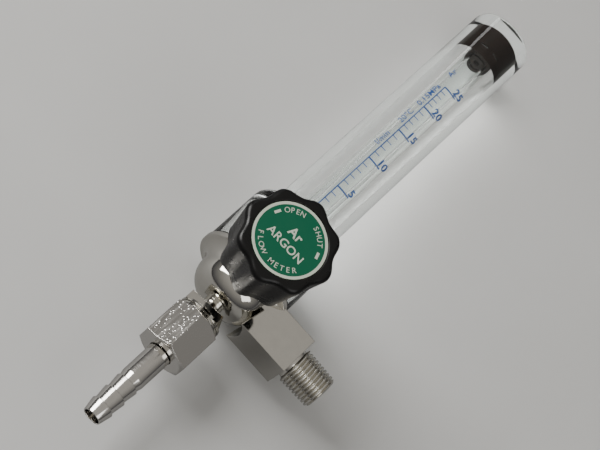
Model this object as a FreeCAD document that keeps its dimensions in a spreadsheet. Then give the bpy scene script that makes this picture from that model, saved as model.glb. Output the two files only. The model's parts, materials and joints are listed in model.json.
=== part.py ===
"""Argon flow meter with a needle valve, built as separate sub-parts in one parametric document.

Frame: +Z runs up the metering tube, the knob faces -Y and the inlet thread points along +X.
The origin is on the inlet axis, where the inlet thread starts. Millimetres throughout.
Sub-parts that are turned are drawn in their own XZ plane as (radius, distance along the axis)
and then placed on the tube axis, the valve axis or the inlet axis.
"""
import FreeCAD, Part
import math
import os
import re
import Sketcher

doc = FreeCAD.newDocument("FlowMeter")

# Driving dimensions: alias, value in mm (or degrees, or a count), what it is.
# Heights are along the tube axis from the inlet axis; a "reach" is along the valve axis from the tube axis.
SIZES = [
    ("reach", 31.8, "tube axis to the start of the inlet thread"),
    ("valve_level", 2.6, "height of the valve axis"),
    # chrome body
    ("block_half", 7.5, "half the width of the square inlet block"),
    ("block_end", 30.3, "end of the inlet block"),
    ("step_foot", 12.7, "turned inner end of the block, at its foot"),
    ("step_head", 14.1, "turned inner end of the block, at its head"),
    ("step_top", 1.6, "top of the turned inner end"),
    ("bowl_base", -6.8, "flat under the bowl"),
    ("bowl_flat", 5.0, "radius of that flat"),
    ("bowl_round", 8.3, "rounding of the bowl"),
    ("bowl_radius", 13.0, "widest radius of the bowl"),
    ("cove_radius", 5.0, "hollow under the flange"),
    ("cove_edge", 17.0, "outer end of the hollow"),
    ("flange_radius", 18.0, "flange that the cover stands on"),
    ("flange_base", 6.4, "underside of the flange"),
    ("flange_top", 8.1, "top of the flange"),
    ("spigot_radius", 13.9, "spigot inside the cover"),
    ("spigot_top", 26.0, "top of the spigot"),
    ("groove_floor", 12.2, "floor of the O-ring groove"),
    ("groove_base", 21.0, "lower side of the O-ring groove"),
    ("groove_head", 23.4, "upper side of the O-ring groove"),
    ("boss_radius", 5.4, "front boss for the valve"),
    ("boss_reach", 24.0, "end of the front boss"),
    ("inlet_bore", 2.0, "radius of the inlet drilling"),
    ("inlet_bore_end", 2.4, "inner end of the inlet drilling"),
    ("rise_offset", 3.2, "offset of the rising drilling"),
    ("drop_offset", 1.4, "offset of the outlet drilling"),
    ("return_reach", 9.5, "offset of the return drilling"),
    ("drill_radius", 1.2, "radius of the small drillings"),
    ("well_radius", 3.6, "well under the metering tube"),
    ("well_floor", 19.0, "floor of that well"),
    ("socket_radius", 4.3, "socket of the metering tube"),
    ("socket_floor", 20.5, "floor of that socket"),
    # clear cover
    ("cover_radius", 12.0, "outside of the cover tube"),
    ("cover_bore", 5.65, "bore of the cover tube"),
    ("cover_top", 145.2, "closed end of the cover"),
    ("cover_bore_end", 141.3, "top of the bore"),
    ("cover_edge", 2.0, "rounding of the closed end"),
    ("cover_base", 8.5, "foot of the cover"),
    ("skirt_radius", 17.5, "wide foot of the cover"),
    ("skirt_bore", 14.2, "bore of the foot"),
    ("skirt_top", 30.0, "start of the shoulder"),
    ("shoulder_mid", 33.0, "middle of the shoulder"),
    ("shoulder_radius", 14.8, "radius at the middle of the shoulder"),
    ("shoulder_top", 36.0, "end of the shoulder"),
    ("shoulder_round", 3.2, "rounding of the shoulder"),
    ("skirt_bore_end", 27.5, "top of the foot's bore"),
    ("gasket_outer", 17.3, "outside of the foot gasket"),
    ("gasket_inner", 14.4, "inside of the foot gasket"),
    ("ring_radius", 13.2, "centre line of the cover O-ring"),
    ("ring_section", 0.93, "section radius of the cover O-ring"),
    ("ring_level", 22.2, "height of the cover O-ring"),
    # metering tube and float
    ("meter_radius", 4.2, "outside of the metering tube"),
    ("meter_base", 21.2, "foot of the metering tube"),
    ("meter_top", 134.0, "top of the metering tube"),
    ("meter_bore_low", 2.45, "bore at the foot"),
    ("meter_bore_high", 3.0, "bore at the top"),
    ("ball_radius", 2.4, "float ball"),
    ("ball_rest", 30.8, "centre of the float at no flow"),
    ("low_stop_base", 27.2, "lower float stop, underside"),
    ("low_stop_top", 28.4, "lower float stop, top"),
    ("low_stop_radius", 2.46, "lower float stop, radius"),
    ("high_stop_base", 128.6, "upper float stop, underside"),
    ("high_stop_top", 130.0, "upper float stop, top"),
    ("high_stop_radius", 2.9, "upper float stop, radius"),
    ("stop_hole", 1.3, "hole in the float stops"),
    # stopper at the top of the tubes
    ("plug_radius", 5.63, "outside of the stopper"),
    ("plug_base", 128.4, "underside of the stopper"),
    ("plug_top", 141.2, "top of the stopper"),
    ("plug_bore", 4.25, "hole for the metering tube"),
    ("plug_shelf", 134.2, "end of that hole"),
    ("plug_chamber", 3.2, "gas chamber above the metering tube"),
    ("plug_chamber_top", 138.0, "top of that chamber"),
    ("collar_outer", 5.1, "groove of the centring ring"),
    ("collar_base", 131.8, "underside of that groove"),
    ("collar_top", 133.5, "top of that groove"),
    ("window_width", 2.4, "gas window in the stopper"),
    ("window_base", 132.2, "foot of the gas windows"),
    ("window_tall", 0.8, "height of the gas windows"),
    # outlet
    ("stud_top", -3.0, "inner end of the outlet adaptor"),
    ("stud_radius", 3.3, "screwed end and neck of the adaptor"),
    ("neck_foot", 3.9, "neck where it meets the square"),
    ("square_half", 6.5, "half the width across the adaptor's square"),
    ("square_top", -10.7, "top of the square"),
    ("square_base", -14.0, "underside of the square"),
    ("square_turn", -14.0, "degrees that the square is turned by"),
    ("disc_radius", 8.0, "round disc under the square"),
    ("disc_base", -15.2, "underside of the disc"),
    ("disc_groove", -14.5, "lower side of the groove round the disc"),
    ("disc_top", -13.2, "upper side of the disc"),
    ("male_radius", 6.0, "outlet thread"),
    ("male_end", -25.0, "end of the outlet thread"),
    ("outlet_bore", 2.0, "bore of the adaptor"),
    ("washer_end", -26.0, "underside of the outlet gasket"),
    ("washer_outer", 5.6, "outside of the outlet gasket"),
    ("nut_corner", 9.815, "union nut, corner radius, for 17 mm across flats"),
    ("nut_face", 8.1, "chamfer circle on the nut's faces"),
    ("nut_top", -15.4, "upper face of the nut"),
    ("nut_edge_top", -16.6, "upper end of the nut's corners"),
    ("nut_edge_base", -30.7, "lower end of the nut's corners"),
    ("nut_base", -31.6, "lower face of the nut"),
    ("nut_thread", 6.1, "thread bore of the nut"),
    ("nut_shelf", -28.3, "shoulder inside the nut"),
    ("nut_eye", 4.45, "hole for the hose tail"),
    ("tail_head", 5.7, "collar of the hose tail"),
    ("tail_shelf", -28.2, "underside of that collar"),
    ("tail_neck", 3.8, "hose tail inside the nut"),
    ("tail_neck_end", -32.0, "end of that length, just below the nut"),
    ("tail_radius", 4.25, "hose tail, and the tips of its barbs"),
    ("tail_root", 3.6, "root of the barbs"),
    ("tail_tip", 3.3, "end of the tail"),
    ("tail_bore", 2.85, "bore of the tail"),
    ("tail_plain_end", -44.6, "end of the plain length"),
    ("barb_one", -46.5, "first barb"),
    ("barb_two", -51.8, "second barb"),
    ("barb_three", -57.2, "third barb"),
    ("tail_end", -62.0, "end of the hose tail"),
    # inlet
    ("thread_radius", 6.58, "R 1/4 thread at the middle of its length"),
    ("thread_length", 12.5, "length of the inlet thread"),
    ("thread_chamfer", 0.9, "chamfer of the thread's end"),
    ("relief_radius", 5.7, "relief behind the thread"),
    ("relief_length", 1.5, "length of the relief"),
    ("press_radius", 4.95, "spigot in the block"),
    ("press_end", -5.5, "inner end of that spigot"),
    ("nipple_bore", 3.0, "bore of the inlet"),
    ("filter_radius", 2.96, "inlet filter"),
    ("filter_start", 8.0, "inner face of the filter"),
    ("filter_end", 10.5, "outer face of the filter"),
    # valve, by reach
    ("seat_pocket", 2.6, "pocket of the valve seat"),
    ("seat_radius", 2.57, "valve seat"),
    ("seat_inner", 6.0, "inner face of the seat"),
    ("seat_outer", 9.2, "outer face of the seat"),
    ("seat_throat", 0.8, "narrow end of the seat's cone"),
    ("seat_throat_end", 6.6, "start of the seat's cone"),
    ("seat_mouth", 1.6, "wide end of the seat's cone"),
    ("chamber_radius", 3.25, "valve chamber"),
    ("bonnet_thread", 4.3, "screwed end of the bonnet"),
    ("bonnet_inner", 15.0, "inner end of the bonnet"),
    ("bonnet_face", 24.6, "bonnet's hexagon, inner face"),
    ("bonnet_outer", 29.6, "bonnet's hexagon, outer face"),
    ("bonnet_corner", 6.93, "bonnet, corner radius, for 12 mm across flats"),
    ("bonnet_bore", 2.98, "threaded bore of the bonnet"),
    ("packing_radius", 4.0, "packing space"),
    ("packing_floor", 25.0, "floor of the packing space"),
    ("packing_line", 3.28, "centre line of the spindle O-ring"),
    ("packing_section", 0.7, "section radius of the spindle O-ring"),
    ("packing_level", 26.4, "reach of the spindle O-ring"),
    ("gland_start", 27.6, "gland washer, inner face"),
    ("gland_end", 29.4, "gland washer, outer face"),
    ("needle_tip", 6.8, "tip of the needle"),
    ("needle_tip_radius", 0.78, "radius at the tip"),
    ("needle_cone_end", 9.4, "wide end of the needle's cone"),
    ("needle_radius", 1.55, "needle"),
    ("needle_head", 2.2, "head that the spindle holds"),
    ("needle_head_start", 15.0, "inner face of the head"),
    ("needle_end", 16.4, "outer face of the head"),
    ("spindle_start", 13.0, "inner end of the spindle"),
    ("spindle_thread", 2.9, "screwed length of the spindle"),
    ("spindle_thread_end", 22.8, "end of the screwed length"),
    ("spindle_radius", 2.5, "plain length of the spindle"),
    ("spindle_end", 45.0, "outer end of the spindle"),
    ("spindle_eye", 1.7, "hole for the needle"),
    ("spindle_cell", 2.3, "space for the needle's head"),
    ("spindle_cell_end", 16.6, "end of that space"),
    ("tap_radius", 1.6, "tapped hole for the knob screw"),
    ("tap_start", 38.0, "end of the tapped hole"),
    ("flat_depth", 0.5, "flat on the spindle for the knob"),
    ("flat_start", 36.0, "start of that flat"),
    # knob, by reach
    ("knob_back", 29.6, "rear edge of the knob"),
    ("knob_face", 51.5, "front edge of the knob"),
    ("knob_front_radius", 16.6, "lobes at the front"),
    ("knob_back_radius", 14.6, "lobes at the back"),
    ("knob_edge", 1.6, "rounding of the front edge"),
    ("lobe_count", 8, "lobes"),
    ("lobe_turn", 5.0, "degrees that the lobes are turned by"),
    ("scoop_radius", 8.5, "hollow between two lobes"),
    ("scoop_depth", 1.6, "depth of that hollow"),
    ("knob_cavity", 11.8, "hollow back of the knob"),
    ("cavity_floor", 44.5, "floor of the hollow back"),
    ("hub_radius", 5.2, "hub of the knob"),
    ("hub_start", 31.7, "inner end of the hub"),
    ("label_recess", 50.6, "floor of the label recess"),
    ("recess_radius", 12.3, "label recess"),
    ("label_radius", 12.15, "label"),
    ("label_face", 51.2, "face of the label"),
    ("head_radius", 2.9, "head of the knob screw"),
    ("head_start", 47.9, "underside of that head"),
    ("head_end", 50.4, "top of that head"),
    ("head_room", 3.1, "counterbore for that head"),
    ("shank_radius", 1.55, "shank of the knob screw"),
    ("shank_start", 39.0, "end of the shank"),
]

sheet = doc.addObject("Spreadsheet::Sheet", "Sizes")
for row, (alias, amount, meaning) in enumerate(SIZES, start=1):
    sheet.set(f"A{row}", meaning)
    sheet.set(f"B{row}", str(amount))
    sheet.setAlias(f"B{row}", alias)
doc.recompute()
ALIASES = {alias for alias, _, _ in SIZES}
TERM = re.compile(r"([+-]?)\s*([a-z_]+|[0-9.]+)")


def value(formula):
    """The number that a sum of aliases and plain numbers stands for."""
    total = 0.0
    for sign, term in TERM.findall(formula):
        number = float(sheet.get(term)) if term in ALIASES else float(term)
        total += -number if sign == "-" else number
    return total


def linked(formula):
    """The same sum as a document expression that reads the sheet."""
    return re.sub(r"[a-z_]+", lambda word: f"Sizes.{word[0]}", formula)


def bind(thing, **links):
    """Ties properties to the sheet. A double underscore in a name stands for a dot."""
    for name, formula in links.items():
        thing.setExpression(name.replace("__", "."), linked(formula))


# ---------------------------------------------------------------- places
UPRIGHT = FreeCAD.Rotation()
TO_FRONT = FreeCAD.Rotation(FreeCAD.Vector(1, 0, 0), 90)
TO_INLET = FreeCAD.Rotation(FreeCAD.Vector(0, 1, 0), 90)


def place(thing, axis):
    """Puts a finished sub-part on the tube axis, the valve axis or the inlet axis."""
    turn = {"tube": UPRIGHT, "valve": TO_FRONT, "inlet": TO_INLET}[axis]
    thing.Placement = FreeCAD.Placement(FreeCAD.Vector(0, 0, 0), turn)
    if axis != "inlet":
        bind(thing, Placement__Base__x="0 - reach")
    if axis == "valve":
        bind(thing, Placement__Base__z="valve_level")


FINISHED = []


def finish(thing, label, axis):
    thing.Label = label
    place(thing, axis)
    FINISHED.append(thing)
    return thing


# ---------------------------------------------------------------- sketches
def origin_plane(body, role):
    return next(f for f in body.Origin.OriginFeatures if f.Role == role)


def arc_through(start, end, radius, side):
    """The shorter arc from start to end. side is 1 when its centre is on the left of that way, else -1."""
    chord = end - start
    to_centre = math.sqrt(radius**2 - (chord.Length / 2) ** 2)
    left = FreeCAD.Vector(-chord.y, chord.x, 0).normalize()
    middle = (start + end) * 0.5 - left * side * (radius - to_centre)
    return Part.Arc(start, middle, end)


def draw(body, role, outline):
    """A closed sketch. Each corner is (across, along), or (across, along, radius, side) after an arc."""
    sketch = body.newObject("Sketcher::SketchObject", "Outline")
    sketch.AttachmentSupport = [(origin_plane(body, role), "")]
    sketch.MapMode = "FlatFace"
    corners = [FreeCAD.Vector(value(c[0]), value(c[1]), 0) for c in outline]
    count = len(corners)
    first, last = [], []
    for index in range(count):
        start, end = corners[index], corners[(index + 1) % count]
        bend = outline[(index + 1) % count][2:]
        if bend:
            edge = arc_through(start, end, value(bend[0]), bend[1])
        else:
            edge = Part.LineSegment(start, end)
        geo = sketch.addGeometry(edge, False)
        forward = (sketch.getPoint(geo, 1) - start).Length < 1e-6
        first.append((geo, 1 if forward else 2))
        last.append((geo, 2 if forward else 1))
    for index in range(count):
        sketch.addConstraint(Sketcher.Constraint("Coincident", *last[index - 1], *first[index]))
    for index, corner in enumerate(outline):
        for kind, formula, axis_line in (("DistanceX", corner[0], -2), ("DistanceY", corner[1], -1)):
            if abs(value(formula)) < 1e-9:
                sketch.addConstraint(Sketcher.Constraint("PointOnObject", *first[index], axis_line))
                continue
            number = sketch.addConstraint(
                Sketcher.Constraint(kind, -1, 1, *first[index], value(formula))
            )
            sketch.setExpression(f"Constraints[{number}]", linked(formula))
        if len(corner) > 2:
            geo = last[index - 1][0]
            number = sketch.addConstraint(Sketcher.Constraint("Radius", geo, value(corner[2])))
            sketch.setExpression(f"Constraints[{number}]", linked(corner[2]))
    return sketch


def turn(body, outline, kind="Revolution"):
    """Adds (Revolution) or removes (Groove) what an outline sweeps about the body's Z axis."""
    sketch = draw(body, "XZ_Plane", outline)
    feature = body.newObject(f"PartDesign::{kind}", kind)
    feature.Profile = sketch
    feature.ReferenceAxis = (sketch, ["V_Axis"])
    feature.Angle = 360
    doc.recompute()
    return feature


def turned(label, axis, outline):
    body = doc.addObject("PartDesign::Body", label)
    turn(body, outline)
    return finish(body, label, axis)


def ring(inner, outer, low, high):
    """The outline of a plain ring."""
    return [(inner, low), (outer, low), (outer, high), (inner, high)]


def drill(body, radius, length, x="0", y="0", z="0", along="Z"):
    """Takes a round hole out of a body, from (x, y, z) along +Z, +X or -Y."""
    hole = body.newObject("PartDesign::SubtractiveCylinder", "Hole")
    heading = {"Z": UPRIGHT, "X": TO_INLET, "front": TO_FRONT}[along]
    hole.Placement = FreeCAD.Placement(FreeCAD.Vector(0, 0, 0), heading)
    bind(
        hole,
        Radius=radius,
        Height=length,
        Placement__Base__x=x,
        Placement__Base__y=y,
        Placement__Base__z=z,
    )
    before = body.Shape.Volume
    doc.recompute()
    if body.Shape.Volume > before - 0.5:
        raise ValueError(f"a hole in {body.Label} removed nothing")
    return hole


# ---------------------------------------------------------------- chrome body
def valve_body():
    body = doc.addObject("PartDesign::Body", "valve_body")
    square = draw(
        body,
        "YZ_Plane",
        [
            ("0 - block_half", "0 - block_half"),
            ("block_half", "0 - block_half"),
            ("block_half", "block_half"),
            ("0 - block_half", "block_half"),
        ],
    )
    block = body.newObject("PartDesign::Pad", "Block")
    block.Profile = square
    bind(block, Length="block_end")
    doc.recompute()
    turn(
        body,
        [
            ("0", "0 - block_half - 1"),
            ("step_foot", "0 - block_half - 1"),
            ("step_foot", "0 - block_half"),
            ("step_head", "step_top"),
            ("0", "step_top"),
        ],
        "Groove",
    )
    turn(
        body,
        [
            ("0", "bowl_base"),
            ("bowl_flat", "bowl_base"),
            ("bowl_radius", "step_top", "bowl_round", 1),
            ("cove_edge", "flange_base", "cove_radius", -1),
            ("flange_radius", "flange_base"),
            ("flange_radius", "flange_top"),
            ("spigot_radius", "flange_top"),
            ("spigot_radius", "groove_base"),
            ("groove_floor", "groove_base"),
            ("groove_floor", "groove_head"),
            ("spigot_radius", "groove_head"),
            ("spigot_radius", "spigot_top"),
            ("0", "spigot_top"),
        ],
    )
    boss = body.newObject("PartDesign::AdditiveCylinder", "Boss")
    boss.Placement = FreeCAD.Placement(FreeCAD.Vector(0, 0, 0), TO_FRONT)
    bind(boss, Radius="boss_radius", Height="boss_reach", Placement__Base__z="valve_level")
    doc.recompute()
    turn(
        body,
        [
            ("0", "well_floor"),
            ("well_radius", "well_floor"),
            ("well_radius", "socket_floor"),
            ("socket_radius", "socket_floor"),
            ("socket_radius", "spigot_top"),
            ("0", "spigot_top"),
        ],
        "Groove",
    )
    # gas way in: along the inlet, then up beside the centre line to the well
    drill(body, "inlet_bore", "block_end - inlet_bore_end", x="inlet_bore_end", along="X")
    drill(body, "press_radius + 0.02", "4.2", x="block_end - 4.2", along="X")
    drill(body, "drill_radius", "well_floor", x="rise_offset")
    # gas way back: down to the valve chamber, through the seat and down to the outlet
    drill(body, "drill_radius", "spigot_top - valve_level", y="0 - return_reach", z="valve_level")
    level = {"z": "valve_level", "along": "front"}
    drill(body, "drill_radius - 0.1", "boss_reach", y="0.3", **level)
    drill(body, "seat_pocket", "boss_reach - seat_inner", y="0 - seat_inner", **level)
    drill(body, "chamber_radius", "boss_reach - seat_outer", y="0 - seat_outer", **level)
    drill(body, "bonnet_thread + 0.05", "boss_reach - bonnet_inner", y="0 - bonnet_inner", **level)
    drill(body, "drill_radius", "valve_level - stud_top", x="0 - drop_offset", z="stud_top")
    drill(body, "stud_radius + 0.02", "stud_top - bowl_base", z="bowl_base")
    return finish(body, "valve_body", "tube")


# ---------------------------------------------------------------- clear cover
def cover():
    turned(
        "outer_tube",
        "tube",
        [
            ("skirt_bore", "cover_base"),
            ("skirt_radius", "cover_base"),
            ("skirt_radius", "skirt_top"),
            ("shoulder_radius", "shoulder_mid", "shoulder_round", 1),
            ("cover_radius", "shoulder_top", "shoulder_round", -1),
            ("cover_radius", "cover_top - cover_edge"),
            ("cover_radius - cover_edge", "cover_top", "cover_edge", 1),
            ("0", "cover_top"),
            ("0", "cover_bore_end"),
            ("cover_bore", "cover_bore_end"),
            ("cover_bore", "skirt_bore_end"),
            ("skirt_bore", "skirt_bore_end"),
        ],
    )
    turned("cover_gasket", "tube", ring("gasket_inner", "gasket_outer", "flange_top", "cover_base"))
    seal = doc.addObject("Part::Torus", "cover_o_ring")
    bind(seal, Radius1="ring_radius", Radius2="ring_section", Placement__Base__z="ring_level")
    finish(seal, "cover_o_ring", "tube")
    bind(seal, Placement__Base__z="ring_level")


# ---------------------------------------------------------------- metering tube, float and stopper
def metering():
    turned(
        "metering_tube",
        "tube",
        [
            ("meter_bore_low", "meter_base"),
            ("meter_radius", "meter_base"),
            ("meter_radius", "meter_top"),
            ("meter_bore_high", "meter_top"),
        ],
    )
    turned("tube_seal", "tube", ring("meter_bore_low", "meter_radius", "socket_floor", "meter_base"))
    low = ring("stop_hole", "low_stop_radius", "low_stop_base", "low_stop_top")
    turned("lower_float_stop", "tube", low)
    high = ring("stop_hole", "high_stop_radius", "high_stop_base", "high_stop_top")
    turned("upper_float_stop", "tube", high)
    ball = doc.addObject("Part::Sphere", "float_ball")
    bind(ball, Radius="ball_radius")
    finish(ball, "float_ball", "tube")
    bind(ball, Placement__Base__z="ball_rest")


def slot(plug, bearing, width, base, height):
    """Cuts a box out of the stopper, from its axis outwards on one bearing."""
    box = plug.newObject("PartDesign::SubtractiveBox", "Slot")
    heading = FreeCAD.Rotation(FreeCAD.Vector(0, 0, 1), bearing)
    offset = heading.multVec(FreeCAD.Vector(0, -value(width) / 2, 0))
    box.Placement = FreeCAD.Placement(offset, heading)
    bind(box, Length="plug_radius + 1", Width=width, Height=height, Placement__Base__z=base)
    doc.recompute()


def stopper():
    plug = doc.addObject("PartDesign::Body", "tube_stopper")
    turn(
        plug,
        [
            ("plug_bore", "plug_base"),
            ("plug_radius", "plug_base"),
            ("plug_radius", "plug_top"),
            ("0", "plug_top"),
            ("0", "plug_chamber_top"),
            ("plug_chamber", "plug_chamber_top"),
            ("plug_chamber", "plug_shelf"),
            ("plug_bore", "plug_shelf"),
            ("plug_bore", "collar_top"),
            ("collar_outer", "collar_top"),
            ("collar_outer", "collar_base"),
            ("plug_bore", "collar_base"),
        ],
    )
    for bearing in (-112.5, -67.5, 67.5, 112.5):
        slot(plug, bearing, "window_width", "window_base", "window_tall")
    finish(plug, "tube_stopper", "tube")
    collar = ring("plug_bore - 0.03", "collar_outer - 0.02", "collar_base + 0.05", "collar_top - 0.05")
    turned("centring_ring", "tube", collar)


# ---------------------------------------------------------------- outlet
def cut(label, base, tool):
    result = doc.addObject("Part::Cut", label)
    result.Base, result.Tool = base, tool
    return result


def fuse(label, one, other):
    result = doc.addObject("Part::Fuse", label)
    result.Base, result.Tool = one, other
    return result


def rough_turned(name, outline):
    """A turned shape that only takes part in a boolean."""
    body = doc.addObject("PartDesign::Body", name)
    turn(body, outline)
    return body


def outlet_adaptor():
    stem = rough_turned(
        "AdaptorStem",
        [
            ("0", "male_end"),
            ("male_radius - 0.6", "male_end"),
            ("male_radius", "male_end + 0.6"),
            ("male_radius", "disc_base"),
            ("disc_radius", "disc_base"),
            ("disc_radius", "disc_groove"),
            ("disc_radius - 0.7", "disc_groove"),
            ("disc_radius - 0.7", "disc_groove + 0.3"),
            ("disc_radius", "disc_groove + 0.3"),
            ("disc_radius", "disc_top"),
            ("neck_foot", "disc_top"),
            ("neck_foot", "square_top"),
            ("stud_radius", "square_top + 1.2", "3", -1),
            ("stud_radius", "stud_top"),
            ("0", "stud_top"),
        ],
    )
    square = doc.addObject("Part::Box", "AdaptorSquare")
    heading = FreeCAD.Rotation(FreeCAD.Vector(0, 0, 1), value("square_turn"))
    half = value("square_half")
    square.Placement = FreeCAD.Placement(heading.multVec(FreeCAD.Vector(-half, -half, 0)), heading)
    bind(
        square,
        Length="square_half + square_half",
        Width="square_half + square_half",
        Height="square_top - square_base",
        Placement__Base__z="square_base",
    )
    bore = rough_turned("AdaptorBore", [
        ("0", "male_end - 1"),
        ("outlet_bore", "male_end - 1"),
        ("outlet_bore", "stud_top + 1"),
        ("0", "stud_top + 1"),
    ])
    finish(cut("outlet_adaptor", fuse("AdaptorBlank", stem, square), bore), "outlet_adaptor", "tube")


def union_nut():
    hexagon = doc.addObject("Part::Prism", "NutHexagon")
    hexagon.Polygon = 6
    # one corner of the hexagon points at the front
    hexagon.Placement = FreeCAD.Placement(
        FreeCAD.Vector(0, 0, 0), FreeCAD.Rotation(FreeCAD.Vector(0, 0, 1), 30)
    )
    bind(
        hexagon,
        Circumradius="nut_corner",
        Height="nut_top - nut_base",
        Placement__Base__z="nut_base",
    )
    limits = rough_turned(
        "NutLimits",
        [
            ("0", "nut_base"),
            ("nut_face", "nut_base"),
            ("nut_corner + 0.1", "nut_edge_base"),
            ("nut_corner + 0.1", "nut_edge_top"),
            ("nut_face", "nut_top"),
            ("0", "nut_top"),
        ],
    )
    blank = doc.addObject("Part::Common", "NutBlank")
    blank.Base, blank.Tool = hexagon, limits
    bore = rough_turned(
        "NutBore",
        [
            ("0", "nut_base - 1"),
            ("nut_eye", "nut_base - 1"),
            ("nut_eye", "nut_shelf"),
            ("nut_thread", "nut_shelf"),
            ("nut_thread", "nut_top + 1"),
            ("0", "nut_top + 1"),
        ],
    )
    finish(cut("union_nut", blank, bore), "union_nut", "tube")


def outlet():
    outlet_adaptor()
    turned("outlet_gasket", "tube", ring("outlet_bore + 0.3", "washer_outer", "washer_end", "male_end"))
    union_nut()
    turned(
        "hose_tail",
        "tube",
        [
            ("tail_bore", "tail_end"),
            ("tail_tip", "tail_end"),
            ("tail_radius", "barb_three"),
            ("tail_root", "barb_three"),
            ("tail_radius", "barb_two"),
            ("tail_root", "barb_two"),
            ("tail_radius", "barb_one"),
            ("tail_root", "barb_one"),
            ("tail_radius", "tail_plain_end"),
            ("tail_radius", "tail_neck_end"),
            ("tail_neck", "tail_neck_end + 0.4"),
            ("tail_neck", "tail_shelf"),
            ("tail_head", "tail_shelf"),
            ("tail_head", "washer_end"),
            ("outlet_bore", "washer_end"),
            ("outlet_bore", "tail_shelf"),
            ("tail_bore", "tail_shelf - 2"),
        ],
    )


# ---------------------------------------------------------------- inlet
def inlet():
    turned(
        "inlet_nipple",
        "inlet",
        [
            ("inlet_bore", "press_end"),
            ("press_radius", "press_end"),
            ("press_radius", "0 - relief_length"),
            ("relief_radius", "0 - relief_length"),
            ("relief_radius", "0"),
            ("thread_radius", "0"),
            ("thread_radius", "thread_length"),
            ("nipple_bore", "thread_length"),
            ("nipple_bore", "thread_length - 6"),
            ("inlet_bore", "thread_length - 7"),
        ],
    )
    turned("inlet_filter", "inlet", [
        ("0", "filter_start"),
        ("filter_radius", "filter_start"),
        ("filter_radius", "filter_end"),
        ("0", "filter_end"),
    ])


# ---------------------------------------------------------------- needle valve
def valve():
    turned(
        "valve_seat",
        "valve",
        [
            ("seat_throat", "seat_inner"),
            ("seat_radius", "seat_inner"),
            ("seat_radius", "seat_outer"),
            ("seat_mouth", "seat_outer"),
            ("seat_throat", "seat_throat_end"),
        ],
    )
    turned(
        "valve_needle",
        "valve",
        [
            ("0", "needle_tip"),
            ("needle_tip_radius - 0.1", "needle_tip"),
            ("needle_radius - 0.05", "needle_cone_end"),
            ("needle_radius", "needle_cone_end + 0.3"),
            ("needle_radius", "needle_head_start"),
            ("needle_head", "needle_head_start"),
            ("needle_head", "needle_end"),
            ("0", "needle_end"),
        ],
    )
    spindle = doc.addObject("PartDesign::Body", "valve_spindle")
    turn(
        spindle,
        [
            ("spindle_eye", "spindle_start"),
            ("spindle_thread", "spindle_start"),
            ("spindle_thread", "spindle_thread_end"),
            ("spindle_radius", "spindle_thread_end"),
            ("spindle_radius", "spindle_end"),
            ("tap_radius", "spindle_end"),
            ("tap_radius", "tap_start"),
            ("0", "tap_start"),
            ("0", "spindle_cell_end"),
            ("spindle_cell", "spindle_cell_end"),
            ("spindle_cell", "needle_head_start - 0.2"),
            ("spindle_eye", "needle_head_start - 0.2"),
        ],
    )
    flat = spindle.newObject("PartDesign::SubtractiveBox", "Flat")
    flat.Placement = FreeCAD.Placement(FreeCAD.Vector(0, -5, 0), FreeCAD.Rotation())
    flat.Width = 10
    bind(
        flat,
        Length="2",
        Height="spindle_end - flat_start + 1",
        Placement__Base__x="spindle_radius - flat_depth",
        Placement__Base__z="flat_start",
    )
    doc.recompute()
    finish(spindle, "valve_spindle", "valve")
    bonnet()
    washer = ring("bonnet_thread + 0.1", "boss_radius - 0.1", "boss_reach", "bonnet_face")
    turned("bonnet_washer", "valve", washer)
    seal = doc.addObject("Part::Torus", "spindle_o_ring")
    bind(seal, Radius1="packing_line", Radius2="packing_section")
    finish(seal, "spindle_o_ring", "valve")
    bind(seal, Placement__Base__y="0 - packing_level")
    gland = ring("spindle_radius + 0.08", "packing_radius - 0.04", "gland_start", "gland_end")
    turned("gland_washer", "valve", gland)


def bonnet():
    hexagon = doc.addObject("Part::Prism", "BonnetHexagon")
    hexagon.Polygon = 6
    bind(
        hexagon,
        Circumradius="bonnet_corner",
        Height="bonnet_outer - bonnet_face",
        Placement__Base__z="bonnet_face",
    )
    stem = rough_turned("BonnetStem", [
        ("0", "bonnet_inner"),
        ("bonnet_thread", "bonnet_inner"),
        ("bonnet_thread", "bonnet_face + 1"),
        ("0", "bonnet_face + 1"),
    ])
    bore = rough_turned("BonnetBore", [
        ("0", "bonnet_inner - 1"),
        ("bonnet_bore", "bonnet_inner - 1"),
        ("bonnet_bore", "packing_floor"),
        ("packing_radius", "packing_floor"),
        ("packing_radius", "bonnet_outer + 1"),
        ("0", "bonnet_outer + 1"),
    ])
    finish(cut("bonnet_nut", fuse("BonnetBlank", stem, hexagon), bore), "bonnet_nut", "valve")


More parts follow.
